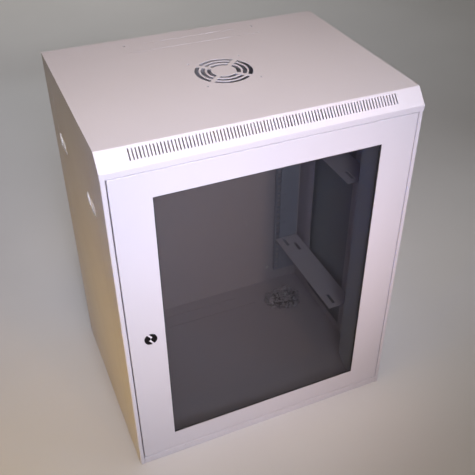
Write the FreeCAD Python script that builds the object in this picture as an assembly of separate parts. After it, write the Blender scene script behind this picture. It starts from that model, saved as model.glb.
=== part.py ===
import FreeCAD, Part
import math
import os
from FreeCAD import Vector

# Wall mount network cabinet, 15 U, glazed front door on the right-hand hinge pins, removable side panels.
# Millimetres. X to the right, Y from the door to the wall, Z up; the origin is under the middle of the box.

# ---- overall ----
WIDTH = 600.0
DEPTH = 450.0            # door face to wall face
HEIGHT = 770.0
SHEET = 1.2              # body sheet
BEND = 1.4               # inside bend radius of the body sheet
LOCK_PROUD = 2.4         # lock face in front of the door face
HALF = WIDTH / 2.0
Y_FRONT = (LOCK_PROUD - DEPTH) / 2.0
Y_BACK = Y_FRONT + DEPTH
Y_INNER_BACK = Y_BACK - SHEET

# ---- front of the shell ----
CHAMFER_Y = 24.0         # sloped top front: how far back it starts
CHAMFER_Z = 28.0         # and how far down it ends
BROW = 11.0              # upright strip under the slope, down to the door opening
PLINTH = 19.0            # upright strip under the door
EDGE = 9.0               # width of the post edge beside the door
Z_SEAM = HEIGHT - CHAMFER_Z - BROW
STOP_GAP = 1.2           # door return to door stop
STOP_HIGH = 8.0          # height of the door stop lips
HINGE_CLEAR = 26.0       # door stops end this far from the hinge-side post

# ---- door ----
DOOR_GAP = 1.6
DOOR_DEPTH = 10.0
DOOR_HALF = HALF - EDGE - DOOR_GAP
DOOR_Z0 = PLINTH + DOOR_GAP
DOOR_Z1 = Z_SEAM - DOOR_GAP
DOOR_ROUND = 1.6
STILE = 71.0             # door edge to window
RAIL_TOP = 49.8          # door top edge to window
RAIL_BOTTOM = 49.9       # door bottom edge to window
WINDOW_HALF = DOOR_HALF - STILE
WINDOW_Z0 = DOOR_Z0 + RAIL_BOTTOM
WINDOW_Z1 = DOOR_Z1 - RAIL_TOP
TAPE = 1.5               # glazing tape
TAPE_WIDE = 10.0
TAPE_LIP = 2.0           # tape that shows inside the window
GLASS = 4.0
GLASS_LAP = 10.0         # glass behind the sheet, each side
Y_DOOR_BACK = Y_FRONT + SHEET
Y_GLASS = Y_DOOR_BACK + TAPE
Y_STOP = Y_FRONT + DOOR_DEPTH + STOP_GAP

# ---- glass clips ----
CLIP_SHEET = 1.0
CLIP_WIDE = 16.0
CLIP_LAP = 6.0           # tongue over the glass
CLIP_FOOT = 12.0
CLIP_SPARE = 0.4         # glass edge to clip riser
CLIP_SIDE_STEPS = (-1.5, -0.5, 0.5, 1.5)
CLIP_SIDE_PITCH = 160.0
CLIP_END_PITCH = 130.0
NUT_AF = 5.5
NUT_HIGH = 2.4

# ---- hinge pins ----
PIN_R = 2.0
PIN_RUN = 0.05           # radial running clearance
HINGE_X = DOOR_HALF - 7.0
HINGE_Y = Y_FRONT + 4.0
PIN_IN = 9.0             # pin length inside the bush
PIN_OUT = 4.0            # pin length beyond the fixed flange
BUSH_X = 12.0
BUSH_Y = 7.2
BUSH_Z = 10.0
COLLAR_R = 3.4
COLLAR_GAP = 0.1

# ---- lock ----
LOCK_IN = 41.4           # free edge of the door to the lock
LOCK_X = LOCK_IN - DOOR_HALF
LOCK_Z = 367.0
LOCK_R = 12.5
NOTCH = 4.4              # width of the two notches for the key
NOTCH_OFF = 3.4          # lock axis to notch middle
NOTCH_TILT = 36.0        # notches from the upright
BARREL_R = 9.0
BARREL_LONG = 12.4
BARREL_HOLE = 0.15
PLUG_R = 6.0
PLUG_SINK = 0.3
KEY_LONG = 5.0
KEY_WIDE = 1.0
KEY_DEEP = 3.0
CAM_GAP = 0.6
CAM_THICK = 2.0
CAM_WIDE = 16.0
CAM_LONG = 38.0
CAM_CLIP = 5.0           # clipped corners of the cam's tip
STUB = 7.0
CAM_SCREW_AF = 8.0
CAM_SCREW_HIGH = 2.0
LOCK_NUT_AF = 24.0
LOCK_NUT_HIGH = 3.0
STRIKE_REACH = 14.0
STRIKE_HIGH = 40.0

# ---- vent slots in the sloped top front ----
VENT_COUNT = 83
VENT_PITCH = 6.0
VENT_WIDE = 2.2
VENT_LONG = 19.4
VENT_DOWN = 5.4          # top bend to slot

# ---- fan position in the top ----
FAN_Y = Y_FRONT + DEPTH / 2.0
FAN_SCREWS = 105.0
FAN_SCREW_R = 2.25
FAN_RINGS = ((24.0, 32.0), (36.0, 44.0), (47.5, 55.5))
FAN_SPOKE = 8.0

# ---- cable knock-outs in the top and the floor ----
KNOCK_LONG = 286.0
KNOCK_DEEP = 39.0
KNOCK_FROM_BACK = 35.0
KNOCK_CUT = 1.2
KNOCK_BRIDGE = 22.0
KNOCK_DIMPLE_R = 2.5

# ---- back ----
WALL_X = 420.0
WALL_Z = 670.0
WALL_R = 5.0

# ---- side frames and panels ----
COVER_SIDE = 8.0         # turned-down side edge of the top
OPEN_FRONT = 76.0        # door face to the side opening
OPEN_BACK = 65.0         # wall face to the side opening
OPEN_BOTTOM = 14.0
OPEN_TOP_GAP = 0.4
LIP = 10.0               # depth of the lip round the side opening
FLANGE_FRONT = 109.0     # inner flange at the front edge of the opening
FLANGE_REAR = 25.0       # and at its rear edge
FLANGE_LOW = 20.0
FLANGE_TOP = 26.0
REAR_RETURN = 20.0
PANEL_GAP = 1.0
PANEL_SEAT = 0.3
PANEL_DEEP = 8.0
PANEL_ROUND = 1.5
X_FLANGE = HALF - LIP
Y_OPEN0 = Y_FRONT + OPEN_FRONT
Y_OPEN1 = Y_BACK - OPEN_BACK
Z_OPEN1 = HEIGHT - COVER_SIDE - OPEN_TOP_GAP

# ---- side panel latches ----
LATCH_LONG = 64.0
LATCH_HIGH = 30.0
LATCH_IN = 36.0          # panel edge to latch centre
LATCH_Z = 617.0
CUP_WALL = 1.2
THUMB_LONG = 24.0
THUMB_HIGH = 20.0
THUMB_SET = 6.0          # drawn-back thumb from the cup centre
THUMB_GAP = 0.3
THUMB_FACE = 1.4         # thumb below the panel face
GRIP_WIDE = 3.0
GRIP_DEEP = 1.6
BOLT_THICK = 3.0
BOLT_HIGH = 9.0
BOLT_GAP = 0.35
BOLT_TIP = 0.4           # drawn-back bolt tip behind the panel edge

# ---- 19 inch rails ----
UNITS = 15
UNIT = 44.45
RACK_HOLES = 465.1
RACK_CLEAR = 450.0
SQUARE = 9.5
UNIT_HOLES = (6.35, 22.225, 38.1)
RAIL_SHEET = 2.0
RAIL_SPARE = 6.0
RETURN_CLIP = 24.0       # clipped corners of the front rail's inner return
FRONT_RAIL_SET = 16.0    # door face to front rail
FRONT_RAIL_DEEP = 54.0
FRONT_RAIL_SIDE = 44.0
REAR_RAIL_SET = 16.0     # wall face to rear rail
REAR_RAIL_HEM = 10.0
REAR_RAIL_SIDE = 13.0
SIDE_HOLE_IN = 24.0      # second hole row of the rear rail, from its inner edge
SIDE_HOLE = 5.0
LOCK_ROOM_R = 13.0       # hole in the front rails behind the lock
RAIL_Z0 = (HEIGHT - UNITS * UNIT) / 2.0
RAIL_Z1 = RAIL_Z0 + UNITS * UNIT

# ---- depth bars ----
BAR_HEIGHTS = {"lower": 105.4, "upper": 477.4}    # bar top above the first unit of the rails
BAR_STARTS = {"lower": 132.0, "upper": 108.0}     # door face to the shelf of the bar
BAR_LEVELS = {name: RAIL_Z0 + height for name, height in BAR_HEIGHTS.items()}
BAR_SHEET = 2.0
BAR_FLANGE = 64.5
BAR_WEB = 30.0
BAR_FRONT = 20.0         # door face to the web
BAR_BACK = 4.0           # wall face to the web
BAR_END_GAP = 2.0        # shelf to rear rail
BAR_SLOT = 34.0
BAR_SLOT_WIDE = 8.0
BAR_SLOT_ROWS = (42.0, 21.0)                      # web face to the two slot rows
BAR_SLOT_FRONT = 29.0    # shelf start to the middle of its front slot
BAR_SLOTS_REAR = (40.0, 68.0)                     # wall face to the rear slot of each row
X_BAR = X_FLANGE
X_RAIL = X_BAR - BAR_SHEET

# ---- M5 square-neck fasteners ----
M_NECK = 5.0
M_HOLE = 5.4
M_AF = 8.0
M_HEAD = 3.5
M_NUT = 5.0
BOLT_DROP = 16.0         # bar top to bolt line

# ---- bag of fixings on the floor ----
BAG_LONG = 104.0
BAG_DEEP = 72.0
BAG_HIGH = 46.0
BAG_ROUND = 13.0
BAG_X = HALF - 88.0      # middle of the bag from the side
BAG_Y = Y_BACK - 101.0   # and from the wall


# ---------------------------------------------------------------- helpers
def box(x0, x1, y0, y1, z0, z1):
    return Part.makeBox(x1 - x0, y1 - y0, z1 - z0, Vector(x0, y0, z0))


def cylinder(x, y, z, radius, length, axis):
    return Part.makeCylinder(radius, length, Vector(x, y, z), axis)


def fuse(shapes):
    return shapes[0].multiFuse(shapes[1:]).removeSplitter()


def mirrored(shape):
    return shape.mirror(Vector(0, 0, 0), Vector(1, 0, 0))


def round_corner(before, corner, after, radius):
    """Tangent points and middle point of an arc at a corner of a flat path."""
    toward = (before - corner).normalize()
    away = (after - corner).normalize()
    half = toward.getAngle(away) / 2.0
    reach = radius / math.tan(half)
    start = corner + toward * reach
    end = corner + away * reach
    bisector = (toward + away).normalize()
    centre = corner + bisector * (radius / math.sin(half))
    return start, centre - bisector * radius, end


def rounded_face(points, radii):
    """Flat face with a rounded corner at each point whose radius isn't zero."""
    edges = []
    count = len(points)
    spans = []
    for i in range(count):
        if radii[i] > 0:
            spans.append(round_corner(points[i - 1], points[i], points[(i + 1) % count], radii[i]))
        else:
            spans.append((points[i], None, points[i]))
    for i in range(count):
        start, middle, end = spans[i]
        if middle is not None:
            edges.append(Part.Arc(start, middle, end).toShape())
        following = spans[(i + 1) % count][0]
        if (following - end).Length > 1e-6:
            edges.append(Part.makeLine(end, following))
    return Part.Face(Part.Wire(edges))


def folded_face(path, thickness, bend=None):
    """Section of folded sheet to the left of its outer line, path; its folds are sharp with no bend."""
    count = len(path)
    heads = []
    for i in range(count - 1):
        du = path[i + 1][0] - path[i][0]
        dv = path[i + 1][1] - path[i][1]
        size = math.hypot(du, dv)
        heads.append((du / size, dv / size))
    inner = []
    radii_outer = [0.0] * count
    radii_inner = [0.0] * count
    for i in range(count):
        a = heads[max(i - 1, 0)]
        b = heads[min(i, count - 2)]
        nu = -(a[1] + b[1])
        nv = a[0] + b[0]
        size = math.hypot(nu, nv)
        reach = thickness / (size / 2.0)
        inner.append((path[i][0] + nu / size * reach, path[i][1] + nv / size * reach))
        turn = a[0] * b[1] - a[1] * b[0]
        if bend is None:
            continue
        if turn > 1e-9:
            radii_outer[i] = bend + thickness
            radii_inner[i] = bend
        elif turn < -1e-9:
            radii_outer[i] = bend
            radii_inner[i] = bend + thickness
    points = [Vector(u, v, 0) for u, v in path]
    points += [Vector(u, v, 0) for u, v in reversed(inner)]
    return rounded_face(points, radii_outer + list(reversed(radii_inner)))


def sweep_x(face, x0, x1):
    """Face drawn as (y, z), pushed along X."""
    turned = face.copy()
    turned.rotate(Vector(0, 0, 0), Vector(1, 1, 1), 120)
    turned.translate(Vector(x0, 0, 0))
    return turned.extrude(Vector(x1 - x0, 0, 0))


def sweep_y(face, y0, y1):
    """Face drawn as (x, z), pushed along Y."""
    turned = face.copy()
    turned.rotate(Vector(0, 0, 0), Vector(1, 0, 0), 90)
    turned.translate(Vector(0, y0, 0))
    return turned.extrude(Vector(0, y1 - y0, 0))


def sweep_z(face, z0, z1):
    """Face drawn as (x, y), pushed along Z."""
    turned = face.copy()
    turned.translate(Vector(0, 0, z0))
    return turned.extrude(Vector(0, 0, z1 - z0))


def plate_x(points, x0, x1):
    """Flat plate whose outline is given as (y, z) points."""
    corners = [Vector(x0, y, z) for y, z in points]
    face = Part.Face(Part.makePolygon(corners + corners[:1]))
    return face.extrude(Vector(x1 - x0, 0, 0))


def stadium(x0, x1, y, z, long, high):
    """Long-round prism along X, its long side along Y."""
    radius = high / 2.0
    half = long / 2.0 - radius
    body = box(x0, x1, y - half, y + half, z - radius, z + radius)
    for end in (-half, half):
        body = body.fuse(cylinder(x0, y + end, z, radius, x1 - x0, Vector(1, 0, 0)))
    return body.removeSplitter()


def hexagon(x, y, z, across, length):
    """Hexagonal prism along X."""
    radius = across / math.sqrt(3.0)
    points = []
    for i in range(6):
        angle = math.radians(60 * i)
        points.append((y + radius * math.cos(angle), z + radius * math.sin(angle)))
    return plate_x(points, x, x + length)


# ---------------------------------------------------------------- shell
def knock_out_cuts(z0, z1):
    """Part-sheared cable opening: four cuts that leave a bridge at each corner, and two prise holes."""
    back = Y_BACK - KNOCK_FROM_BACK
    front = back - KNOCK_DEEP
    half = KNOCK_LONG / 2.0
    cuts = [box(-half, half, front, front + KNOCK_CUT, z0, z1)]
    cuts.append(box(-half + 2 * KNOCK_BRIDGE, half - 2 * KNOCK_BRIDGE, back - KNOCK_CUT, back, z0, z1))
    for side in (-1, 1):
        x = side * half
        cuts.append(cylinder(x - side * KNOCK_DIMPLE_R, back, z0, KNOCK_DIMPLE_R, z1 - z0, Vector(0, 0, 1)))
    return cuts


def vent_tool():
    """One slot cutter, square to the sloped sheet."""
    slope = math.hypot(CHAMFER_Y, CHAMFER_Z)
    tool = Part.makeBox(VENT_WIDE, VENT_LONG, 4 * SHEET, Vector(-VENT_WIDE / 2, -VENT_LONG / 2, -2 * SHEET))
    tool.rotate(Vector(0, 0, 0), Vector(1, 0, 0), math.degrees(math.atan2(CHAMFER_Z, CHAMFER_Y)))
    share = (VENT_DOWN + VENT_LONG / 2) / slope
    tool.translate(Vector(0, Y_FRONT + CHAMFER_Y * (1 - share), HEIGHT - CHAMFER_Z * share))
    return tool


def fan_grille_cuts():
    """Three rings of arc slots, parted by two diagonal spokes."""
    rings = []
    for inner, outer in FAN_RINGS:
        ring = cylinder(0, FAN_Y, HEIGHT - 2 * SHEET, outer, 3 * SHEET, Vector(0, 0, 1))
        rings.append(ring.cut(cylinder(0, FAN_Y, HEIGHT - 2 * SHEET, inner, 3 * SHEET, Vector(0, 0, 1))))
    spokes = []
    for turn in (45, 135):
        reach = FAN_RINGS[-1][1] + SHEET
        spoke = box(-reach, reach, -FAN_SPOKE / 2, FAN_SPOKE / 2, HEIGHT - 3 * SHEET, HEIGHT + 2 * SHEET)
        spoke.rotate(Vector(0, 0, 0), Vector(0, 0, 1), turn)
        spoke.translate(Vector(0, FAN_Y, 0))
        spokes.append(spoke)
    cuts = [ring.cut(spokes) for ring in rings]
    for sx in (-1, 1):
        for sy in (-1, 1):
            cuts.append(cylinder(sx * FAN_SCREWS / 2, FAN_Y + sy * FAN_SCREWS / 2, HEIGHT - 2 * SHEET,
                                 FAN_SCREW_R, 3 * SHEET, Vector(0, 0, 1)))
    return cuts


def hinge_hole(z0, z1, clearance):
    return cylinder(HINGE_X, HINGE_Y, z0, PIN_R + clearance, z1 - z0, Vector(0, 0, 1))


def top_cover():
    hood = folded_face([(Y_INNER_BACK, HEIGHT), (Y_FRONT + CHAMFER_Y, HEIGHT), (Y_FRONT, HEIGHT - CHAMFER_Z),
                        (Y_FRONT, Z_SEAM)], SHEET, BEND + SHEET)
    rebate = folded_face([(Y_FRONT + SHEET / 2, Z_SEAM), (Y_STOP, Z_SEAM), (Y_STOP, Z_SEAM - STOP_HIGH)],
                         SHEET, BEND)
    reach = HALF - EDGE
    parts = [sweep_x(hood, -HALF, HALF), sweep_x(rebate, -reach, reach)]
    for side in (-1, 1):
        edge = box(HALF - SHEET, HALF, Y_FRONT + CHAMFER_Y, Y_INNER_BACK,
                   HEIGHT - COVER_SIDE, HEIGHT - SHEET / 2)
        parts.append(edge if side > 0 else mirrored(edge))
    cover = fuse(parts)
    cuts = fan_grille_cuts() + knock_out_cuts(HEIGHT - 2 * SHEET, HEIGHT + SHEET)
    tool = vent_tool()
    for i in range(VENT_COUNT):
        slot = tool.copy()
        slot.translate(Vector((i - (VENT_COUNT - 1) / 2.0) * VENT_PITCH, 0, 0))
        cuts.append(slot)
    cuts.append(box(reach - HINGE_CLEAR, reach + 1, Y_STOP - SHEET / 2, Y_STOP + 2 * SHEET,
                    Z_SEAM - STOP_HIGH - 1, Z_SEAM - 0.01))
    cuts.append(hinge_hole(Z_SEAM - SHEET, Z_SEAM + 2 * SHEET, 0.0))
    return cover.cut(cuts)


def floor_panel():
    front = folded_face([(Y_STOP, PLINTH + STOP_HIGH), (Y_STOP, PLINTH), (Y_FRONT, PLINTH), (Y_FRONT, 0),
                         (Y_FRONT + 4 * PLINTH, 0)], SHEET, BEND)
    reach = HALF - EDGE
    plate = box(-(HALF - SHEET), HALF - SHEET, Y_FRONT + PLINTH, Y_INNER_BACK, 0, SHEET)
    panel = fuse([sweep_x(front, -reach, reach), plate])
    cuts = knock_out_cuts(-SHEET, 2 * SHEET)
    cuts.append(box(reach - HINGE_CLEAR, reach + 1, Y_STOP - SHEET / 2, Y_STOP + 2 * SHEET,
                    PLINTH + 0.01, PLINTH + STOP_HIGH + 1))
    cuts.append(hinge_hole(PLINTH - 2 * SHEET, PLINTH + SHEET, 0.0))
    return panel.cut(cuts)


def back_panel():
    panel = box(-HALF, HALF, Y_INNER_BACK, Y_BACK, 0, HEIGHT)
    cuts = []
    for sx in (-1, 1):
        for sz in (-1, 1):
            cuts.append(cylinder(sx * WALL_X / 2, Y_INNER_BACK - SHEET, HEIGHT / 2 + sz * WALL_Z / 2,
                                 WALL_R, 3 * SHEET, Vector(0, 1, 0)))
    return panel.cut(cuts)


def opening_points(front, rear, low, high):
    """Side opening as (y, z) less these insets, its top front corner parallel to the sloped top front."""
    y0 = Y_OPEN0 + front
    y1 = Y_OPEN1 - rear
    z0 = OPEN_BOTTOM + low
    z1 = Z_OPEN1 - high
    lean = front * (math.hypot(CHAMFER_Y, CHAMFER_Z) - CHAMFER_Z) / CHAMFER_Y
    return [(y0, z0), (y1, z0), (y1, z1), (y0 + CHAMFER_Y, z1), (y0, z1 - CHAMFER_Z - lean)]


def side_frame():
    """Right-hand frame: front and rear post, lip and inner flange round the side opening."""
    lap = 3 * (SHEET + BEND)
    edge = folded_face([(HALF - EDGE, Y_STOP + SHEET), (HALF - EDGE, Y_FRONT), (HALF, Y_FRONT),
                        (HALF, Y_FRONT + 2 * lap)], SHEET, BEND)
    under = math.hypot(CHAMFER_Y, CHAMFER_Z) * SHEET / CHAMFER_Y
    z_under = HEIGHT - COVER_SIDE - OPEN_TOP_GAP
    skin = plate_x([(Y_FRONT + lap, 0), (Y_INNER_BACK, 0), (Y_INNER_BACK, z_under),
                    (Y_FRONT + CHAMFER_Y - OPEN_TOP_GAP, z_under),
                    (Y_FRONT + CHAMFER_Y - OPEN_TOP_GAP, HEIGHT - SHEET - under),
                    (Y_FRONT + 2 * SHEET, HEIGHT - CHAMFER_Z - under),
                    (Y_FRONT + 2 * SHEET, Z_SEAM), (Y_FRONT + lap, Z_SEAM)], HALF - SHEET, HALF)
    corners = opening_points(0, 0, 0, 0)
    over = [(corners[2][0], z_under + SHEET), (corners[3][0], z_under + SHEET)]
    hole = plate_x(corners[:2] + over + corners[3:], HALF - 2 * SHEET, HALF + SHEET)
    opening = plate_x(corners, X_FLANGE - SHEET, HALF + SHEET)
    lip_outer = plate_x(opening_points(-SHEET, -SHEET, -SHEET, -SHEET), X_FLANGE, HALF - SHEET)
    flange_top = HEIGHT - SHEET - Z_OPEN1
    flange = plate_x(opening_points(-SHEET, -SHEET, -SHEET, -flange_top), X_FLANGE, X_FLANGE + SHEET)
    window = plate_x(opening_points(FLANGE_FRONT, FLANGE_REAR, FLANGE_LOW, FLANGE_TOP),
                     X_FLANGE - SHEET, X_FLANGE + 2 * SHEET)
    lip = lip_outer.cut(opening)
    rear = box(HALF - REAR_RETURN, HALF - SHEET / 2, Y_INNER_BACK - SHEET, Y_INNER_BACK, SHEET, z_under)
    frame = fuse([sweep_z(edge, 0, Z_SEAM), skin.cut(hole), lip, flange.cut(window), rear])
    cuts = []
    for level in BAR_LEVELS.values():
        for y in frame_bolt_rows():
            cuts.append(neck_hole(X_FLANGE, y, level - BOLT_DROP))
    for end in latch_places():
        y_edge = end[0] + end[1] * (LATCH_IN + PANEL_GAP)
        room = BOLT_GAP * 2
        cuts.append(box(X_BOLT0 - room, X_BOLT1 + room, y_edge - 2 * SHEET, y_edge + 2 * SHEET,
                        LATCH_Z - BOLT_HIGH / 2 - room, LATCH_Z + BOLT_HIGH / 2 + room))
    return frame.cut(cuts)


def side_frame_left():
    """Mirror of the right-hand frame, with the strike that the lock cam turns behind."""
    frame = mirrored(side_frame())
    x = -(HALF - EDGE)
    strike = box(x - SHEET, x + STRIKE_REACH, Y_STOP, Y_STOP + SHEET,
                 LOCK_Z - STRIKE_HIGH / 2, LOCK_Z + STRIKE_HIGH / 2)
    return fuse([frame, strike])


def hinge_pins():
    top = cylinder(HINGE_X, HINGE_Y, DOOR_Z1 - SHEET - PIN_IN, PIN_R,
                   SHEET + PIN_IN + DOOR_GAP + SHEET + PIN_OUT, Vector(0, 0, 1))
    low = cylinder(HINGE_X, HINGE_Y, PLINTH - SHEET - PIN_OUT, PIN_R,
                   PIN_OUT + SHEET + DOOR_GAP + SHEET + PIN_IN, Vector(0, 0, 1))
    collar = cylinder(HINGE_X, HINGE_Y, PLINTH, COLLAR_R, DOOR_GAP - COLLAR_GAP, Vector(0, 0, 1))
    return [top, low.fuse(collar).removeSplitter()]


# ---------------------------------------------------------------- rails and bars
def rail_hole_levels():
    for unit in range(UNITS):
        for step in UNIT_HOLES:
            yield RAIL_Z0 + unit * UNIT + step


def rail_cuts(y0, y1):
    x = RACK_HOLES / 2.0
    half = SQUARE / 2.0
    return [box(x - half, x + half, y0, y1, z - half, z + half) for z in rail_hole_levels()]


def rail_bolt_cuts(y):
    return [neck_hole(X_RAIL, y, level - BOLT_DROP) for level in BAR_LEVELS.values()]


def rail_front():
    y = Y_FRONT + FRONT_RAIL_SET
    x = RACK_CLEAR / 2.0
    section = folded_face([(x, y + FRONT_RAIL_DEEP), (x, y), (X_RAIL, y), (X_RAIL, y + FRONT_RAIL_SIDE)],
                          RAIL_SHEET)
    rail = sweep_z(section, RAIL_Z0 - RAIL_SPARE, RAIL_Z1 + RAIL_SPARE)
    cuts = rail_cuts(y - 1, y + RAIL_SHEET + 1) + rail_bolt_cuts(front_rail_bolt_row())
    cuts.append(cylinder(-LOCK_X, y - 1, LOCK_Z, LOCK_ROOM_R, RAIL_SHEET + 2, Vector(0, 1, 0)))
    y_edge = y + FRONT_RAIL_DEEP
    for z_end, inward in ((RAIL_Z0 - RAIL_SPARE, 1), (RAIL_Z1 + RAIL_SPARE, -1)):
        z_clip = z_end + inward * RETURN_CLIP
        corner = [(y_edge - RETURN_CLIP, z_end), (y_edge + 1, z_end), (y_edge + 1, z_clip), (y_edge, z_clip)]
        cuts.append(plate_x(corner, x - 1, x + RAIL_SHEET + 1))
    return rail.cut(cuts)


def rail_rear():
    y = Y_BACK - REAR_RAIL_SET
    x = RACK_CLEAR / 2.0
    section = folded_face([(x, y + REAR_RAIL_HEM), (x, y), (X_RAIL, y), (X_RAIL, y + REAR_RAIL_SIDE)],
                          RAIL_SHEET)
    rail = sweep_z(section, RAIL_Z0 - RAIL_SPARE, RAIL_Z1 + RAIL_SPARE)
    cuts = rail_cuts(y - 1, y + RAIL_SHEET + 1) + rail_bolt_cuts(rear_rail_bolt_row())
    half = SIDE_HOLE / 2.0
    for unit in range(UNITS):
        z = RAIL_Z0 + (unit + 0.5) * UNIT
        cuts.append(box(x + SIDE_HOLE_IN - half, x + SIDE_HOLE_IN + half, y - 1, y + RAIL_SHEET + 1,
                        z - half, z + half))
    return rail.cut(cuts)


def front_rail_bolt_row():
    return Y_FRONT + FRONT_RAIL_SET + FRONT_RAIL_SIDE / 2.0


def rear_rail_bolt_row():
    return Y_BACK - REAR_RAIL_SET + (REAR_RAIL_SIDE + RAIL_SHEET) / 2.0


def frame_bolt_rows():
    return (Y_OPEN0 + FLANGE_FRONT / 2.0, Y_OPEN1 - FLANGE_REAR / 2.0)


def depth_bar(name):
    """Right-hand bar: web bolted to the posts, slotted shelf towards the middle, up to the rear rail."""
    level = BAR_LEVELS[name]
    x_edge = X_BAR - BAR_FLANGE
    y0 = Y_FRONT + BAR_FRONT
    y1 = Y_BACK - BAR_BACK
    y_shelf = Y_FRONT + BAR_STARTS[name]
    section = folded_face([(X_BAR, level - BAR_WEB), (X_BAR, level), (x_edge, level)], BAR_SHEET)
    bar = sweep_y(section, y0, y1)
    inner = X_BAR - BAR_SHEET
    y_end = Y_BACK - REAR_RAIL_SET - BAR_END_GAP
    cuts = [box(x_edge - 1, inner, y0 - 1, y_shelf, level - BAR_WEB - 1, level + 1),
            box(x_edge - 1, inner, y_end, y1 + 1, level - BAR_WEB - 1, level + 1)]
    places = [(BAR_SLOT_ROWS[0], y_shelf + BAR_SLOT_FRONT)]
    for row, from_wall in zip(BAR_SLOT_ROWS, BAR_SLOTS_REAR):
        places.append((row, Y_BACK - from_wall))
    for row, y in places:
        x = inner - row
        cuts.append(box(x - BAR_SLOT_WIDE / 2, x + BAR_SLOT_WIDE / 2, y - BAR_SLOT / 2, y + BAR_SLOT / 2,
                        level - 2 * BAR_SHEET, level + BAR_SHEET))
    rows = frame_bolt_rows() + (front_rail_bolt_row(), rear_rail_bolt_row())
    for y in rows:
        cuts.append(neck_hole(inner, y, level - BOLT_DROP))
    return bar.cut(cuts)


def neck_hole(x, y, z):
    """Square hole for a bolt along X, cut well past the sheets at x."""
    half = M_HOLE / 2.0
    return box(x - 2 * BAR_SHEET, x + 2 * BAR_SHEET, y - half, y + half, z - half, z + half)


def bolt(x_seat, x_nut, y, z):
    """Bolt along X: hexagon head inside x_seat and square neck out to the nut, whose thread isn't drawn."""
    half = M_NECK / 2.0
    neck = box(x_seat - M_HEAD / 2, x_nut, y - half, y + half, z - half, z + half)
    return fuse([hexagon(x_seat - M_HEAD, y, z, M_AF, M_HEAD), neck])


def bar_fasteners():
    """Bolts and nuts for both sides: rails to bars, then bars to posts."""
    rail_set = [[], []]
    post_set = [[], []]
    for level in BAR_LEVELS.values():
        z = level - BOLT_DROP
        for y in (front_rail_bolt_row(), rear_rail_bolt_row()):
            rail_set[0].append(bolt(X_RAIL - RAIL_SHEET, X_BAR, y, z))
            rail_set[1].append(hexagon(X_BAR, y, z, M_AF, M_NUT))
        for y in frame_bolt_rows():
            post_set[0].append(bolt(X_BAR - BAR_SHEET, X_FLANGE + SHEET, y, z))
            post_set[1].append(hexagon(X_FLANGE + SHEET, y, z, M_AF, M_NUT))
    doubled = []
    for group in rail_set + post_set:
        doubled.append(group + [mirrored(one) for one in group])
    return doubled


# ---------------------------------------------------------------- door
def window_block(extra, y0, y1):
    """Block the size of the door window, larger by extra on each side."""
    return box(-WINDOW_HALF - extra, WINDOW_HALF + extra, y0, y1, WINDOW_Z0 - extra, WINDOW_Z1 + extra)


def door_frame():
    pan = box(-DOOR_HALF, DOOR_HALF, Y_FRONT, Y_FRONT + DOOR_DEPTH, DOOR_Z0, DOOR_Z1)
    hollow = box(-DOOR_HALF + SHEET, DOOR_HALF - SHEET, Y_DOOR_BACK, Y_FRONT + DOOR_DEPTH + 1,
                 DOOR_Z0 + SHEET, DOOR_Z1 - SHEET)
    front_edges = []
    for edge in pan.Edges:
        if all(abs(vertex.Point.y - Y_FRONT) < 1e-6 for vertex in edge.Vertexes):
            front_edges.append(edge)
    pan = pan.makeFillet(DOOR_ROUND, front_edges).cut(hollow)
    cuts = [window_block(0, Y_FRONT - 1, Y_DOOR_BACK + 1)]
    cuts.append(hinge_hole(DOOR_Z1 - 2 * SHEET, DOOR_Z1 + 1, PIN_RUN))
    cuts.append(hinge_hole(DOOR_Z0 - 1, DOOR_Z0 + 2 * SHEET, PIN_RUN))
    cuts.append(cylinder(LOCK_X, Y_FRONT - 1, LOCK_Z, BARREL_R + BARREL_HOLE, SHEET + 2, Vector(0, 1, 0)))
    return pan.cut(cuts)


def door_glass():
    return window_block(GLASS_LAP, Y_GLASS, Y_GLASS + GLASS)


def glazing_tape():
    ring = window_block(TAPE_WIDE, Y_DOOR_BACK, Y_GLASS)
    return ring.cut(window_block(-TAPE_LIP, Y_DOOR_BACK - 1, Y_GLASS + 1))


def clip_parts():
    """Clip and nut for a glass edge that lies at x = 0 with the glass on the -X side."""
    riser = CLIP_SPARE + CLIP_SHEET
    y_seat = Y_DOOR_BACK + CLIP_SHEET
    y_top = Y_GLASS + GLASS + CLIP_SHEET
    path = [(CLIP_SPARE + CLIP_FOOT, y_seat), (riser, y_seat), (riser, y_top), (-CLIP_LAP, y_top)]
    section = folded_face(path, CLIP_SHEET)
    clip = sweep_z(section, -CLIP_WIDE / 2, CLIP_WIDE / 2)
    fixing = hexagon(0, 0, 0, NUT_AF, NUT_HIGH)
    fixing.rotate(Vector(0, 0, 0), Vector(0, 0, 1), 90)
    fixing.translate(Vector(riser + (CLIP_FOOT - CLIP_SHEET) / 2, y_seat, 0))
    return clip, fixing


def glass_clips():
    clips = []
    fixings = []
    clip, fixing = clip_parts()
    x_side = WINDOW_HALF + GLASS_LAP
    z_mid = (WINDOW_Z0 + WINDOW_Z1) / 2.0
    places = []
    for step in CLIP_SIDE_STEPS:
        places.append((0, x_side, z_mid + step * CLIP_SIDE_PITCH))
        places.append((180, -x_side, z_mid + step * CLIP_SIDE_PITCH))
    for side in (-1, 1):
        places.append((-90, side * CLIP_END_PITCH, WINDOW_Z1 + GLASS_LAP))
        places.append((90, side * CLIP_END_PITCH, WINDOW_Z0 - GLASS_LAP))
    for turn, x, z in places:
        for source, store in ((clip, clips), (fixing, fixings)):
            piece = source.copy()
            piece.rotate(Vector(0, 0, 0), Vector(0, 1, 0), turn)
            piece.translate(Vector(x, 0, z))
            store.append(piece)
    return clips, fixings


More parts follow.
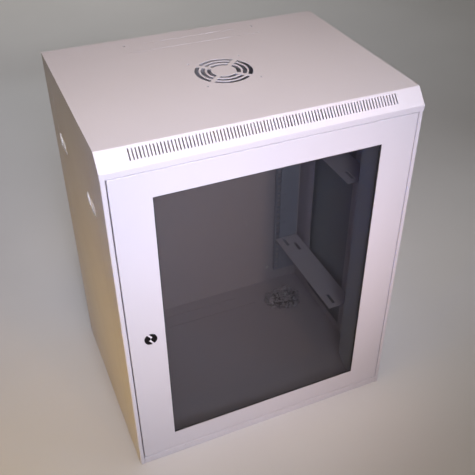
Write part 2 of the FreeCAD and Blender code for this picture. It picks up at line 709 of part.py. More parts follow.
def door_hinge_bushes():
    bushes = []
    x1 = DOOR_HALF - SHEET
    for z0 in (DOOR_Z1 - SHEET - BUSH_Z, DOOR_Z0 + SHEET):
        bush = box(x1 - BUSH_X, x1, Y_DOOR_BACK, Y_DOOR_BACK + BUSH_Y, z0, z0 + BUSH_Z)
        bushes.append(bush.cut(hinge_hole(z0 - 1, z0 + BUSH_Z + 1, PIN_RUN)))
    return bushes


# ---------------------------------------------------------------- lock
def along_y(y0, y1, radius):
    return cylinder(LOCK_X, y0, LOCK_Z, radius, y1 - y0, Vector(0, 1, 0))


def lock_notches():
    """Two notches from the rim past the lock axis, one on each side of a narrow web."""
    notches = []
    for turn in (0, 180):
        notch = box(LOCK_X + NOTCH_OFF - NOTCH / 2, LOCK_X + NOTCH_OFF + NOTCH / 2,
                    Y_FRONT - LOCK_PROUD - 1, Y_FRONT, LOCK_Z, LOCK_Z + LOCK_R + 1)
        notch.rotate(Vector(LOCK_X, 0, LOCK_Z), Vector(0, 1, 0), turn - NOTCH_TILT)
        notches.append(notch)
    return notches


def lock_body():
    face = along_y(Y_FRONT - LOCK_PROUD, Y_FRONT, LOCK_R).cut(lock_notches())
    body = face.fuse(along_y(Y_FRONT, Y_FRONT + BARREL_LONG, BARREL_R)).removeSplitter()
    return body.cut(along_y(Y_FRONT - LOCK_PROUD - 1, Y_FRONT + BARREL_LONG + 1, PLUG_R + PIN_RUN))


def lock_nut():
    radius = LOCK_NUT_AF / math.sqrt(3.0)
    corners = []
    for i in range(7):
        angle = math.radians(60 * i)
        corners.append(Vector(LOCK_X + radius * math.cos(angle), Y_DOOR_BACK,
                              LOCK_Z + radius * math.sin(angle)))
    body = Part.Face(Part.makePolygon(corners)).extrude(Vector(0, LOCK_NUT_HIGH, 0))
    return body.cut(along_y(Y_FRONT, Y_DOOR_BACK + LOCK_NUT_HIGH + 1, BARREL_R))


def cam_start():
    return Y_FRONT + BARREL_LONG + CAM_GAP


def lock_plug():
    face = Y_FRONT - LOCK_PROUD + PLUG_SINK
    plug = along_y(face, cam_start(), PLUG_R)
    keyway = box(LOCK_X - KEY_WIDE / 2, LOCK_X + KEY_WIDE / 2, face - 1, face + KEY_DEEP,
                 LOCK_Z - KEY_LONG / 2, LOCK_Z + KEY_LONG / 2)
    stub = box(LOCK_X - STUB / 2, LOCK_X + STUB / 2, cam_start() - 1, cam_start() + CAM_THICK,
               LOCK_Z - STUB / 2, LOCK_Z + STUB / 2)
    return fuse([plug.cut([keyway] + lock_notches()), stub])


def lock_cam():
    """Flat arm on the plug's square stub, pointing down when the lock is open."""
    half = CAM_WIDE / 2.0
    tip = LOCK_Z - CAM_LONG
    points = [(-half, half), (-half, tip - LOCK_Z + CAM_CLIP), (-half + CAM_CLIP, tip - LOCK_Z),
              (half - CAM_CLIP, tip - LOCK_Z), (half, tip - LOCK_Z + CAM_CLIP), (half, half)]
    corners = [Vector(LOCK_X + u, cam_start(), LOCK_Z + v) for u, v in points]
    cam = Part.Face(Part.makePolygon(corners + corners[:1])).extrude(Vector(0, CAM_THICK, 0))
    return cam.cut(box(LOCK_X - STUB / 2, LOCK_X + STUB / 2, cam_start() - 1, cam_start() + CAM_THICK + 1,
                       LOCK_Z - STUB / 2, LOCK_Z + STUB / 2))


def cam_screw():
    screw = hexagon(0, 0, 0, CAM_SCREW_AF, CAM_SCREW_HIGH)
    screw.rotate(Vector(0, 0, 0), Vector(0, 0, 1), 90)
    screw.translate(Vector(LOCK_X, cam_start() + CAM_THICK, LOCK_Z))
    return screw


# ---------------------------------------------------------------- side panels and latches
X_CUP = HALF - PANEL_DEEP
X_THUMB = X_CUP + CUP_WALL + THUMB_GAP
X_BOLT0 = X_THUMB + 1.0
X_BOLT1 = X_BOLT0 + BOLT_THICK


def latch_places():
    """Latch centre along Y and the way its bolt goes, front latch first."""
    return ((Y_OPEN0 + PANEL_GAP + LATCH_IN, -1), (Y_OPEN1 - PANEL_GAP - LATCH_IN, 1))


def bolt_slot(y0, y1):
    return box(X_BOLT0 - BOLT_GAP, X_BOLT1 + BOLT_GAP, min(y0, y1), max(y0, y1),
               LATCH_Z - BOLT_HIGH / 2 - BOLT_GAP, LATCH_Z + BOLT_HIGH / 2 + BOLT_GAP)


def side_panel():
    outline = plate_x(opening_points(PANEL_GAP, PANEL_GAP, PANEL_SEAT, 0), HALF - PANEL_DEEP, HALF)
    edges = []
    for edge in outline.Edges:
        if all(abs(vertex.Point.x - HALF) < 1e-6 for vertex in edge.Vertexes):
            edges.append(edge)
    shell = outline.makeFillet(PANEL_ROUND, edges)
    inset = PANEL_GAP + SHEET
    hollow = plate_x(opening_points(inset, inset, PANEL_SEAT + SHEET, SHEET),
                     HALF - PANEL_DEEP - 1, HALF - SHEET)
    cuts = [hollow]
    for y, way in latch_places():
        cuts.append(stadium(HALF - 2 * SHEET, HALF + 1, y, LATCH_Z, LATCH_LONG, LATCH_HIGH))
        cuts.append(bolt_slot(y + way * (LATCH_IN - 2 * SHEET), y + way * (LATCH_IN + 1)))
    return shell.cut(cuts)


def latch_cups():
    """Moulded boxes behind the panel, each with a long-round pocket that lines up with its hole."""
    cups = []
    for y, way in latch_places():
        half_y = LATCH_LONG / 2 + CUP_WALL
        half_z = LATCH_HIGH / 2 + CUP_WALL
        cup = box(X_CUP, HALF - SHEET, y - half_y, y + half_y, LATCH_Z - half_z, LATCH_Z + half_z)
        pocket = stadium(X_CUP + CUP_WALL, HALF, y, LATCH_Z, LATCH_LONG, LATCH_HIGH)
        slot = bolt_slot(y + way * (THUMB_LONG / 2), y + way * (half_y + CUP_WALL))
        cups.append(cup.cut([pocket, slot]))
    return cups


def latch_slide(y, way):
    """Thumb piece and bolt in one, drawn back."""
    thumb_y = y - way * THUMB_SET
    half_y = THUMB_LONG / 2.0
    half_z = THUMB_HIGH / 2.0
    thumb = box(X_THUMB, HALF - THUMB_FACE, thumb_y - half_y, thumb_y + half_y,
                LATCH_Z - half_z, LATCH_Z + half_z)
    grooves = []
    for step in (-1, 0, 1):
        y_groove = thumb_y + step * 2 * GRIP_WIDE
        grooves.append(box(HALF - THUMB_FACE - GRIP_DEEP, HALF,
                           y_groove - GRIP_WIDE / 2, y_groove + GRIP_WIDE / 2,
                           LATCH_Z - half_z + GRIP_WIDE, LATCH_Z + half_z - GRIP_WIDE))
    tip = y + way * (LATCH_IN - BOLT_TIP)
    start = thumb_y + way * half_y / 2
    bolt_bar = box(X_BOLT0, X_BOLT1, min(start, tip), max(start, tip),
                   LATCH_Z - BOLT_HIGH / 2, LATCH_Z + BOLT_HIGH / 2)
    return fuse([thumb.cut(grooves), bolt_bar])


# ---------------------------------------------------------------- loose fixings
def fixings_bag():
    half_x = BAG_LONG / 2.0
    half_y = BAG_DEEP / 2.0
    bag = box(BAG_X - half_x, BAG_X + half_x, BAG_Y - half_y, BAG_Y + half_y, SHEET, SHEET + BAG_HIGH)
    upper = [edge for edge in bag.Edges if edge.BoundBox.ZMax > SHEET + BAG_HIGH / 2]
    return bag.makeChamfer(BAG_ROUND, upper)


# ---------------------------------------------------------------- nodes
def nodes():
    frame_right = side_frame()
    front_rail = rail_front()
    rear_rail = rail_rear()
    panel = side_panel()
    cups = latch_cups()
    front_latch, rear_latch = [latch_slide(y, way) for y, way in latch_places()]
    clips, clip_nuts = glass_clips()
    rail_bolts, rail_nuts, post_bolts, post_nuts = bar_fasteners()
    table = {
        "top_cover": [top_cover()],
        "floor_panel": [floor_panel()],
        "back_panel": [back_panel()],
        "side_frame_left": [side_frame_left()],
        "side_frame_right": [frame_right],
        "rail_front_left": [mirrored(front_rail)],
        "rail_front_right": [front_rail],
        "rail_rear_left": [mirrored(rear_rail)],
        "rail_rear_right": [rear_rail],
        "rail_bolts": rail_bolts,
        "rail_nuts": rail_nuts,
        "bar_bolts": post_bolts,
        "bar_nuts": post_nuts,
        "hinge_pins": hinge_pins(),
        "fixings_bag": [fixings_bag()],
        "door_frame": [door_frame()],
        "door_glass": [door_glass()],
        "glazing_tape": [glazing_tape()],
        "glass_clips": clips,
        "glass_clip_nuts": clip_nuts,
        "door_hinge_bushes": door_hinge_bushes(),
        "lock_body": [lock_body()],
        "lock_nut": [lock_nut()],
        "lock_plug": [lock_plug()],
        "lock_cam": [lock_cam()],
        "lock_cam_screw": [cam_screw()],
        "side_panel_left": [mirrored(panel)],
        "side_panel_right": [panel],
        "latch_cups_left": [mirrored(cup) for cup in cups],
        "latch_cups_right": cups,
        "latch_slide_left_front": [mirrored(front_latch)],
        "latch_slide_left_rear": [mirrored(rear_latch)],
        "latch_slide_right_front": [front_latch],
        "latch_slide_right_rear": [rear_latch],
    }
    for name in BAR_LEVELS:
        bar = depth_bar(name)
        table["depth_bar_" + name + "_right"] = [bar]
        table["depth_bar_" + name + "_left"] = [mirrored(bar)]
    return table


def main():
    os.makedirs("parts", exist_ok=True)
    for name, solids in nodes().items():
        shape = solids[0] if len(solids) == 1 else Part.makeCompound(solids)
        shape.exportStep("parts/" + name + ".step")
        print(name, len(shape.Solids), "valid" if shape.isValid() else "INVALID", round(shape.Volume, 1))


main()
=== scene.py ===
import math
import random

import bmesh
import bpy
from mathutils import Matrix, Vector, noise


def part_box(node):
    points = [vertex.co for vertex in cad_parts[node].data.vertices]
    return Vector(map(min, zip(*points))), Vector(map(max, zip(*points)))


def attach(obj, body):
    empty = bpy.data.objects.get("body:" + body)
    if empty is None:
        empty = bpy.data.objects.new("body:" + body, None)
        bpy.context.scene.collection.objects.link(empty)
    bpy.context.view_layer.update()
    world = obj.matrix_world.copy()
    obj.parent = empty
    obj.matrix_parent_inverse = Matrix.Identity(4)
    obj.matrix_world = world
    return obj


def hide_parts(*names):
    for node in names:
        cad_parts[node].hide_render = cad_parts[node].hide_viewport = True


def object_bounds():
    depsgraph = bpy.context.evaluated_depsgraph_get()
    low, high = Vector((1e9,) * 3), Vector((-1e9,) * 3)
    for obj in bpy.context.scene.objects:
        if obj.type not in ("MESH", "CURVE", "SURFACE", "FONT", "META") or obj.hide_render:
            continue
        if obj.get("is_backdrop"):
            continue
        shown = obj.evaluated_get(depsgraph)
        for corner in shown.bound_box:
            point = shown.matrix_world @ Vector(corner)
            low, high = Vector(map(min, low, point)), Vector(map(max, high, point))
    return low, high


# The looks of a glazed wall cabinet: its finishes, the bag of fixings in it, a plain studio and the camera.

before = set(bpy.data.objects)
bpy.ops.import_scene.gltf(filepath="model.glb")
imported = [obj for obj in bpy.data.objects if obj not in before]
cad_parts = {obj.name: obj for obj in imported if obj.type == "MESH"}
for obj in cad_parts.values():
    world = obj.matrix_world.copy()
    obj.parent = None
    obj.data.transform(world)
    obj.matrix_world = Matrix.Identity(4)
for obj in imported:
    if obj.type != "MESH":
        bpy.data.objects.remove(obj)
LOW, HIGH = (Vector(corner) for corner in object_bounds())
CENTRE = (LOW + HIGH) / 2
SIDES = ("left", "right")

# ---- view, from the middle of the cabinet, in metres ----
EYE = CENTRE + Vector((-0.4575, -1.1468, 0.9279))
AIM = CENTRE + Vector((0.0178, -0.0510, 0.0206))
LENS = 52.8
SENSOR = 36.0
SHIFT = (-0.0128, 0.0004)

# ---- finishes ----
SHELL_COLOUR = (0.600, 0.575, 0.612)
# Painted shade: the side panels' inner faces take this dark grey-green in place of the shell colour, standing
# in for the shade inside the cabinet.
PANEL_INSIDE_SHADE_COLOUR = (0.30, 0.36, 0.36)
# Painted shade: the rails take this darker, bluer copy of the shell colour, standing in for the cool shade they
# sit in behind the door.
RAIL_SHADE_COLOUR = (0.43, 0.48, 0.56)
# Painted light: the depth bars take this lighter copy of the shell colour, standing in for the light falling on
# their tops.
BAR_LIT_COLOUR = (0.76, 0.73, 0.76)
ZINC_COLOUR = (0.56, 0.57, 0.58)
LATCH_COLOUR = (0.93, 0.93, 0.95)
LOCK_FACE_COLOUR = (0.004, 0.003, 0.004)
LOCK_METAL_COLOUR = (0.78, 0.75, 0.77)
GLASS_COLOUR = (0.010, 0.008, 0.010, 1.0)
GLASS_DENSITY = 0.36
FILM_COLOUR = (0.88, 0.88, 0.92, 1.0)
BLACK = (0.0, 0.0, 0.0, 1.0)
LOCK_FACE_DEPTH = 0.0021
# Depth of the outer skin of a side panel that keeps the shell colour; deeper in, the painted inside shade takes
# over.
PANEL_SKIN = 0.0006

# ---- bag of fixings ----
FILM_INSET = 0.0004
SCREW_COUNT = 26
NUT_COUNT = 20
FIXINGS_SEED = 7
WELD = 0.00001

# ---- studio, in metres ----
FLOOR_REACH = 6.0
WALL_RADIUS = 5.2
WALL_FOOT = 1.6
WALL_HEIGHT = 6.0
WALL_LIFT = 0.002
WALL_STEPS = 96
FOOT_ANGLES = range(0, 91, 10)

# Each lamp's name, place and aim from the cabinet's low front left corner, size, spread in degrees,
# power in watts, and colour.
LAMPS = (
    ("key", (-0.09, -1.28, 1.365), (0.10, 0.0, 0.75), (0.45, 0.35), 60, 3.98, (0.884, 0.869, 1.0)),
    ("fill", (0.02, -1.30, 0.45), (0.02, 0.0, 0.28), (0.4, 0.4), 50, 0.42, (0.72, 0.80, 1.0)),
    ("window", (0.56, -1.6, 0.95), (0.35, 0.449, 0.25), (0.12, 0.12), 36, 0.66, (1.0, 0.68, 0.50)),
    ("right", (1.05, -0.75, 1.25), (0.30, 0.449, 0.25), (0.25, 0.25), 50, 0.39, (0.66, 0.757, 1.0)),
    ("overhead", (0.25, -0.10, 2.2), (0.25, 0.1, 0.77), (0.8, 0.5), 90, 2.60, (1.0, 0.756, 0.534)),
    ("warm", (-0.80, -0.04, 0.32), (0.0, 0.08, 0.28), (0.4, 0.4), 96, 0.84, (1.0, 0.585, 0.0)),
    ("cool", (-1.00, -0.90, 1.00), (0.57, 0.14, 0.50), (0.15, 0.15), 26, 0.13, (0.02, 0.20, 1.0)),
    ("sky", (0.3, 0.2, 3.2), (0.3, 0.2, 0.0), (3.0, 3.0), 180, 17.0, (1.0, 0.97, 0.95)),
    ("backdrop", (0.6, 2.6, 2.2), (0.9, 3.0, 0.0), (3.0, 2.0), 110, 9.0, (1.0, 1.0, 1.0)),
    ("rear", (0.30, 2.40, 0.42), (0.30, 0.45, 0.40), (1.2, 0.6), 70, 2.4, (0.95, 0.97, 1.0)),
    ("far_side", (2.40, 0.50, 0.42), (0.60, 0.25, 0.40), (0.6, 0.6), 70, 1.9, (0.95, 0.97, 1.0)),
)
TINTED_LAMPS = ("warm", "cool")

# The washes light the floor all round, each aimed away from the cabinet. Their places are from the same corner.
WASH_PLACES = {
    "left_wash": (-3.4, 0.2),
    "right_wash": (4.0, 0.2),
    "front_wash": (0.3, -3.6),
    "rear_wash": (0.3, 3.9),
}
WASH_MIDDLE = 0.3
WASH_OUTWARD = 1.3
WASH_HEIGHT = 2.6
WASH_SIZE = (3.0, 3.0)
WASH_SPREAD = 150
WASH_POWER = 20.0
WASH_COLOUR = (1.0, 0.90, 0.76)

WORLD_COLOUR = (0.80, 0.80, 0.80, 1.0)
WORLD_STRENGTH = 0.01


# ---------------------------------------------------------------- node helpers
def dim(colour, share):
    return tuple(channel * share for channel in colour)


class Shader:
    """A material's node tree with short calls for the nodes used here."""

    def __init__(self, name):
        self.material = bpy.data.materials.new(name)
        self.material.use_nodes = True
        self.nodes = self.material.node_tree.nodes
        self.links = self.material.node_tree.links
        self.surface = self.nodes["Principled BSDF"]
        self.place = self.nodes.new("ShaderNodeTexCoord").outputs["Object"]

    def set(self, **sockets):
        for name, value in sockets.items():
            self.surface.inputs[name.replace("_", " ")].default_value = value

    def link(self, source, name):
        self.links.new(source, self.surface.inputs[name])

    def noise(self, scale, detail=2.0, rough=0.5, stretch=(1, 1, 1)):
        mapping = self.nodes.new("ShaderNodeMapping")
        mapping.inputs["Scale"].default_value = stretch
        self.links.new(self.place, mapping.inputs["Vector"])
        node = self.nodes.new("ShaderNodeTexNoise")
        node.inputs["Scale"].default_value = scale
        node.inputs["Detail"].default_value = detail
        node.inputs["Roughness"].default_value = rough
        self.links.new(mapping.outputs["Vector"], node.inputs["Vector"])
        return node.outputs["Fac"]

    def ramp(self, source, low, high, start=0.3, end=0.7):
        """Blend between two colours or two grey values over a stretch of the source."""
        node = self.nodes.new("ShaderNodeValToRGB")
        node.color_ramp.elements[0].position = start
        node.color_ramp.elements[1].position = end
        for element, value in zip(node.color_ramp.elements, (low, high)):
            element.color = (*value, 1.0) if isinstance(value, tuple) else (value, value, value, 1.0)
        self.links.new(source, node.inputs["Fac"])
        return node.outputs["Color"]

    def math(self, operation, source, value=0.0):
        node = self.nodes.new("ShaderNodeMath")
        node.operation = operation
        node.inputs[1].default_value = value
        self.links.new(source, node.inputs[0])
        return node.outputs["Value"]

    def along(self, axis):
        split = self.nodes.new("ShaderNodeSeparateXYZ")
        self.links.new(self.place, split.inputs["Vector"])
        return split.outputs[axis]

    def choose(self, mask, source, colour):
        """The source where the mask is 1, and the plain colour elsewhere."""
        node = self.nodes.new("ShaderNodeMixRGB")
        self.links.new(mask, node.inputs["Fac"])
        node.inputs["Color1"].default_value = (*colour, 1.0)
        self.links.new(source, node.inputs["Color2"])
        return node.outputs["Color"]

    def creases(self, scale, width, low, high):
        """Thin wandering lines, at the given high value, on a ground at the low value."""
        level = self.noise(scale, detail=3.0, rough=0.6)
        offset = self.math("ABSOLUTE", self.math("SUBTRACT", level, 0.5))
        return self.ramp(offset, high, low, start=0.0, end=width)

    def bump(self, source, depth, strength, under=None):
        node = self.nodes.new("ShaderNodeBump")
        node.inputs["Distance"].default_value = depth
        node.inputs["Strength"].default_value = strength
        self.links.new(source, node.inputs["Height"])
        if under is not None:
            self.links.new(under, node.inputs["Normal"])
        return node.outputs["Normal"]


# ---------------------------------------------------------------- materials
def powder_coat(name, colour, rough=0.42, inside_shade=None):
    """Satin powder coat: faint orange peel and a slow drift in tone and gloss.

    Where an inside shade is given, it is painted shade: all but the outermost skin at either side takes that
    darker colour in place of the main one, standing in for the shade inside the cabinet.
    """
    shader = Shader(name)
    shader.set(Specular_IOR_Level=0.45)
    coat = shader.ramp(shader.noise(scale=3.5, detail=3.0), dim(colour, 0.965), colour)
    if inside_shade is not None:
        # Painted shade: away from the outer skin the coat turns to the darker inside colour, which stands in
        # for the shade on the side panels' inner faces.
        from_middle = shader.math("ABSOLUTE", shader.along("X"))
        unshaded_skin = shader.math("GREATER_THAN", from_middle, HIGH.x - PANEL_SKIN)
        coat = shader.choose(unshaded_skin, coat, inside_shade)
    gloss = shader.ramp(shader.noise(scale=9.0, detail=4.0), rough - 0.05, rough + 0.05)
    peel = shader.bump(shader.noise(scale=420.0), depth=0.00008, strength=0.5)
    sway = shader.bump(shader.noise(scale=5.0, detail=1.0), depth=0.0012, strength=0.12, under=peel)
    shader.link(coat, "Base Color")
    shader.link(gloss, "Roughness")
    shader.link(sway, "Normal")
    return shader.material


def smoked_glass():
    """Grey-tinted toughened glass with faint wipe marks in its gloss."""
    shader = Shader("smoked_glass")
    shader.set(Base_Color=GLASS_COLOUR, Alpha=GLASS_DENSITY, Specular_IOR_Level=0.5)
    wipes = shader.noise(scale=7.0, detail=5.0, rough=0.6, stretch=(1, 1, 0.3))
    shader.link(shader.ramp(wipes, 0.02, 0.07), "Roughness")
    shader.material.surface_render_method = "BLENDED"
    return shader.material


def zinc_plate():
    """Bright zinc plate: spangled tone and uneven gloss."""
    shader = Shader("zinc_plate")
    shader.set(Metallic=1.0)
    spangle = shader.noise(scale=180.0, detail=4.0, rough=0.7)
    shader.link(shader.ramp(spangle, dim(ZINC_COLOUR, 0.72), ZINC_COLOUR), "Base Color")
    shader.link(shader.ramp(shader.noise(scale=260.0, detail=3.0), 0.24, 0.46), "Roughness")
    shader.link(shader.bump(shader.noise(scale=700.0), depth=0.00005, strength=0.4), "Normal")
    return shader.material


def mixed_fixings():
    """Zinc-plated screws and nuts among black-finished ones."""
    shader = Shader("mixed_fixings")
    shader.set(Metallic=1.0)
    mix = shader.noise(scale=85.0, detail=1.0)
    shader.link(shader.ramp(mix, (0.05, 0.05, 0.06), (0.95, 0.95, 0.97), start=0.42, end=0.56), "Base Color")
    shader.link(shader.ramp(shader.noise(scale=260.0, detail=3.0), 0.20, 0.36), "Roughness")
    shader.link(shader.bump(shader.noise(scale=700.0), depth=0.00005, strength=0.4), "Normal")
    return shader.material


def lock_finish():
    """Black lock face over bright metal, which shows deeper down, in the notches."""
    shader = Shader("lock_finish")
    shader.set(Specular_IOR_Level=0.25)
    deeper = shader.math("GREATER_THAN", shader.along("Y"), LOW.y + LOCK_FACE_DEPTH)
    shader.link(shader.ramp(deeper, LOCK_FACE_COLOUR, LOCK_METAL_COLOUR, start=0.2, end=0.8), "Base Color")
    shader.link(shader.ramp(shader.noise(scale=300.0, detail=4.0), 0.22, 0.36), "Roughness")
    shader.link(shader.bump(shader.noise(scale=800.0), depth=0.00004, strength=0.5), "Normal")
    return shader.material


def grey_plastic():
    """Fine-grained moulded plastic of the latches."""
    shader = Shader("grey_plastic")
    tone = shader.ramp(shader.noise(scale=60.0, detail=3.0), dim(LATCH_COLOUR, 0.9), LATCH_COLOUR)
    shader.link(tone, "Base Color")
    shader.link(shader.ramp(shader.noise(scale=120.0, detail=3.0), 0.36, 0.48), "Roughness")
    shader.link(shader.bump(shader.noise(scale=900.0), depth=0.00006, strength=0.5), "Normal")
    return shader.material


def foam_tape():
    """Dull black foam under the glass."""
    shader = Shader("foam_tape")
    cells = shader.noise(scale=500.0, detail=4.0)
    shader.link(shader.ramp(cells, (0.012, 0.012, 0.012), (0.03, 0.03, 0.03)), "Base Color")
    shader.link(shader.ramp(shader.noise(scale=200.0), 0.75, 0.95), "Roughness")
    shader.link(shader.bump(shader.noise(scale=1500.0), depth=0.0001, strength=0.7), "Normal")
    return shader.material


def clear_film():
    """Thin crumpled film: nearly clear, whiter and denser along its creases."""
    shader = Shader("clear_film")
    shader.set(Base_Color=FILM_COLOUR, Specular_IOR_Level=1.0)
    shader.link(shader.creases(scale=34.0, width=0.05, low=0.05, high=0.65), "Alpha")
    shader.link(shader.ramp(shader.noise(scale=60.0, detail=3.0), 0.04, 0.16), "Roughness")
    dents = shader.noise(scale=95.0, detail=5.0, rough=0.7)
    shader.link(shader.bump(dents, depth=0.004, strength=0.9), "Normal")
    shader.material.surface_render_method = "BLENDED"
    return shader.material


def plain_floor():
    shader = Shader("studio_floor")
    shader.set(Roughness=0.9)
    shader.link(shader.ramp(shader.noise(scale=2.0), (0.61, 0.61, 0.62), (0.64, 0.64, 0.65)), "Base Color")
    return shader.material


def painted_wall():
    """Pale wall with its own even glow."""
    shader = Shader("studio_wall")
    shader.set(Base_Color=BLACK, Specular_IOR_Level=0.0, Emission_Strength=1.0)
    glow = shader.ramp(shader.noise(scale=0.6), (0.19, 0.19, 0.20), (0.22, 0.22, 0.23))
    shader.link(glow, "Emission Color")
    return shader.material


# ---------------------------------------------------------------- finishes on the CAD nodes
def dress(material, *nodes):
    for node in nodes:
        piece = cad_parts[node]
        piece.data.materials.clear()
        piece.data.materials.append(material)


def dress_nodes():
    shell = powder_coat("shell_coat", SHELL_COLOUR)
    # Painted shade: the side panels' coat is darkened on their inner faces.
    panel = powder_coat("panel_coat_painted_shade", SHELL_COLOUR, inside_shade=PANEL_INSIDE_SHADE_COLOUR)
    # Painted shade: the rails' coat is a darker, bluer copy of the shell coat.
    shaded_rails = powder_coat("rail_coat_painted_shade", RAIL_SHADE_COLOUR, rough=0.46)
    # Painted light: the bars' coat is a lighter copy of the shell coat.
    lit_bars = powder_coat("bar_coat_painted_light", BAR_LIT_COLOUR, rough=0.46)
    latches = grey_plastic()
    dress(shell, "top_cover", "floor_panel", "back_panel", "door_frame")
    for side in SIDES:
        dress(shell, "side_frame_" + side)
        dress(panel, "side_panel_" + side)
        dress(shaded_rails, "rail_front_" + side, "rail_rear_" + side)
        dress(lit_bars, "depth_bar_lower_" + side, "depth_bar_upper_" + side)
        dress(latches, "latch_cups_" + side, "latch_slide_%s_front" % side, "latch_slide_%s_rear" % side)
    dress(smoked_glass(), "door_glass")
    dress(foam_tape(), "glazing_tape")
    dress(lock_finish(), "lock_body", "lock_plug")
    dress(zinc_plate(), "rail_bolts", "rail_nuts", "bar_bolts", "bar_nuts", "hinge_pins", "glass_clips",
          "glass_clip_nuts", "door_hinge_bushes", "lock_nut", "lock_cam", "lock_cam_screw")


# ---------------------------------------------------------------- mesh helpers
def new_piece(name, mesh, material, smooth=True):
    data = bpy.data.meshes.new(name)
    mesh.to_mesh(data)
    mesh.free()
    for polygon in data.polygons:
        polygon.use_smooth = smooth
    data.materials.append(material)
    piece = bpy.data.objects.new(name, data)
    bpy.context.scene.collection.objects.link(piece)
    return piece


def turns(steps, start=0.0):
    """The cosine and sine at even steps round a full turn."""
    angles = [2 * math.pi * (i + start) / steps for i in range(steps)]
    return [(math.cos(angle), math.sin(angle)) for angle in angles]


def join_rings(mesh, a, b):
    """Join two closed rings of vertices with quads."""
    for i in range(len(a)):
        j = (i + 1) % len(a)
        mesh.faces.new((a[i], b[i], b[j], a[j]))


# ---------------------------------------------------------------- bag of fixings
def crumple(point, centre):
    """Push a point of the pouch in or out from the centre: soft dents, fine wrinkles and sharp folds."""
    dent_scale, wrinkle_scale, fold_scale = 38.0, 150.0, 75.0
    dent_depth, wrinkle_depth, fold_depth = 0.22, 0.14, 0.34
    apart = 4.2
    dents = noise.noise(point * dent_scale + Vector((apart, 0, 0)))
    wrinkles = noise.noise(point * wrinkle_scale + Vector((0, apart, 0)))
    folds = abs(noise.noise(point * fold_scale + Vector((0, 0, apart))))
    away = point - centre
    return point + away * (dent_depth * dents + wrinkle_depth * wrinkles - fold_depth * folds)


def film_pouch(low, high, material):
    """A slack pouch: a low heap with its mouth gathered into a peak behind it."""
    corner_power = 0.70
    mouth_x, mouth_y, mouth_spread = 0.20, 0.30, 0.10
    heap_height, peak_height = 0.60, 0.55
    centre = (low + high) / 2
    half = (high - low) / 2
    mesh = bmesh.new()
    bmesh.ops.create_icosphere(mesh, subdivisions=6, radius=1.0)
    for vertex in mesh.verts:
        p = Vector([math.copysign(abs(value) ** corner_power, value) for value in vertex.co])
        near_mouth = math.exp(-((p.x - mouth_x) ** 2 + (p.y - mouth_y) ** 2) / mouth_spread)
        p.z = -1.0 + (p.z + 1.0) * (heap_height + peak_height * near_mouth)
        place = crumple(centre + Vector((p.x * half.x, p.y * half.y, p.z * half.z)), centre)
        for axis in range(3):
            place[axis] = min(max(place[axis], low[axis] + FILM_INSET), high[axis] - FILM_INSET)
        vertex.co = place
    return new_piece("bag_film", mesh, material)


def cage_nut(mesh, matrix):
    """Square nut in its spring cage, with a round hole."""
    width, thick, bore_radius = 0.0155, 0.0065, 0.0035
    rings = []
    for z in (-thick / 2, thick / 2):
        outer = []
        inner = []
        for c, s in turns(16, start=0.5):
            reach = 0.5 / max(abs(c), abs(s))
            outer.append(mesh.verts.new(matrix @ Vector((c * reach * width, s * reach * width, z))))
            inner.append(mesh.verts.new(matrix @ Vector((c * bore_radius, s * bore_radius, z))))
        rings += [outer, inner]
    low_outer, low_inner, high_outer, high_inner = rings
    join_rings(mesh, high_outer, low_outer)
    join_rings(mesh, low_inner, high_inner)
    join_rings(mesh, high_inner, high_outer)
    join_rings(mesh, low_outer, low_inner)


def machine_screw(mesh, matrix):
    """Pan head with a rounded crown and a threaded shank, turned from one profile of radius and height."""
    crest, root, tip = 0.0029, 0.0025, 0.0020
    length, pitch = 0.014, 0.001
    crest_drop, root_drop = 0.0003, 0.0008
    profile = [(0.0, 0.0044), (0.0034, 0.0040), (0.0058, 0.0026), (0.0062, 0.0), (crest, 0.0)]
    z = 0.0
    while z > -length:
        profile += [(crest, z - crest_drop), (root, z - root_drop)]
        z -= pitch
    profile += [(tip, z), (0.0, z)]
    rings = [[mesh.verts.new(matrix @ Vector((radius * c, radius * s, height))) for c, s in turns(14)]
             for radius, height in profile]
    for above, below in zip(rings, rings[1:]):
        join_rings(mesh, above, below)


def loose_fixings(low, high, material):
    """Screws and cage nuts heaped in the pouch, highest in its middle, in a seeded order."""
    heap_share, heap_forward = 0.70, 0.12
    lowest, heap_height = 0.007, 0.020
    screw_lean = (0.35 * math.pi, 0.6 * math.pi)
    nut_lean = (-0.9, 0.9)
    chance = random.Random(FIXINGS_SEED)
    centre = (low + high) / 2
    half = (high - low) / 2
    mesh = bmesh.new()
    for count, make in ((SCREW_COUNT, machine_screw), (NUT_COUNT, cage_nut)):
        for _ in range(count):
            angle = chance.uniform(0, 2 * math.pi)
            reach = math.sqrt(chance.random()) * heap_share
            spot = Vector((centre.x + half.x * reach * math.cos(angle),
                           centre.y + half.y * reach * math.sin(angle) - heap_forward * half.y,
                           low.z + lowest + (1 - reach) * heap_height * chance.random()))
            turn = chance.uniform(0, 2 * math.pi)
            lean = chance.uniform(*screw_lean)
            if make is cage_nut:
                lean = chance.uniform(*nut_lean)
            turned = Matrix.Rotation(turn, 4, "Z") @ Matrix.Rotation(lean, 4, "X")
            make(mesh, Matrix.Translation(spot) @ turned)
    bmesh.ops.remove_doubles(mesh, verts=mesh.verts, dist=WELD)
    return new_piece("bag_fixings", mesh, material, smooth=False)


def bag_of_fixings():
    low, high = (Vector(corner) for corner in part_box("fixings_bag"))
    film = film_pouch(low, high, clear_film())
    fixings = loose_fixings(low, high, mixed_fixings())
    for piece, name in ((film, "clear_film"), (fixings, "zinc_steel")):
        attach(piece, "cabinet")
    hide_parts("fixings_bag")


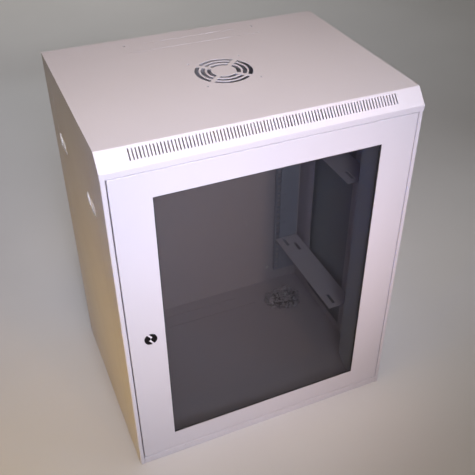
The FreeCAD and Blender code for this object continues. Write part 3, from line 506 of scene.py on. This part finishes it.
# ---------------------------------------------------------------- studio
def floor():
    mesh = bmesh.new()
    bmesh.ops.create_grid(mesh, x_segments=2, y_segments=2, size=FLOOR_REACH)
    piece = new_piece("studio_floor", mesh, plain_floor())
    piece.location.z = LOW.z
    piece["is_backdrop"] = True


def wall():
    """Round wall with a curved foot, far off on all sides. Only the camera sees it, so it gives no light."""
    inner_radius = WALL_RADIUS - WALL_FOOT
    profile = []
    for angle in FOOT_ANGLES:
        bend = math.radians(angle)
        profile.append((inner_radius + WALL_FOOT * math.sin(bend), WALL_FOOT - WALL_FOOT * math.cos(bend)))
    profile.append((WALL_RADIUS, WALL_HEIGHT))
    mesh = bmesh.new()
    rings = [[mesh.verts.new((radius * c, radius * s, height)) for c, s in turns(WALL_STEPS)]
             for radius, height in profile]
    for below, above in zip(rings, rings[1:]):
        join_rings(mesh, above, below)
    piece = new_piece("studio_wall", mesh, painted_wall())
    piece.location = (CENTRE.x, CENTRE.y, LOW.z + WALL_LIFT)
    for sense in ("diffuse", "glossy", "transmission", "volume_scatter", "shadow"):
        setattr(piece, "visible_" + sense, False)
    piece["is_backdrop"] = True


def lamp(name, place, aim, size, spread, power, colour):
    """A soft box, out of the camera's sight. A tinted one is kept out of reflections as well."""
    light = bpy.data.lights.new(name, "AREA")
    light.shape = "RECTANGLE"
    light.size, light.size_y = size
    light.spread = math.radians(spread)
    light.energy = power
    light.color = colour
    piece = bpy.data.objects.new(name, light)
    piece.location = LOW + Vector(place)
    piece.rotation_euler = (Vector(aim) - Vector(place)).to_track_quat("-Z", "Y").to_euler()
    piece.visible_camera = False
    piece.visible_glossy = name not in TINTED_LAMPS
    bpy.context.scene.collection.objects.link(piece)


def lights():
    for settings in LAMPS:
        lamp(*settings)
    for name, (x, y) in WASH_PLACES.items():
        aim = (WASH_MIDDLE + WASH_OUTWARD * (x - WASH_MIDDLE), WASH_OUTWARD * y, 0.0)
        lamp(name, (x, y, WASH_HEIGHT), aim, WASH_SIZE, WASH_SPREAD, WASH_POWER, WASH_COLOUR)
    world = bpy.data.worlds.new("studio")
    world.use_nodes = True
    background = world.node_tree.nodes["Background"]
    background.inputs["Color"].default_value = WORLD_COLOUR
    background.inputs["Strength"].default_value = WORLD_STRENGTH
    bpy.context.scene.world = world


def camera():
    data = bpy.data.cameras.new("camera")
    data.lens = LENS
    data.sensor_width = SENSOR
    data.shift_x, data.shift_y = SHIFT
    piece = bpy.data.objects.new("camera", data)
    piece.location = EYE
    piece.rotation_euler = (AIM - EYE).to_track_quat("-Z", "Y").to_euler()
    bpy.context.scene.collection.objects.link(piece)
    bpy.context.scene.camera = piece


dress_nodes()
bag_of_fixings()
floor()
wall()
lights()
camera()
bpy.context.scene.view_settings.view_transform = "Standard"
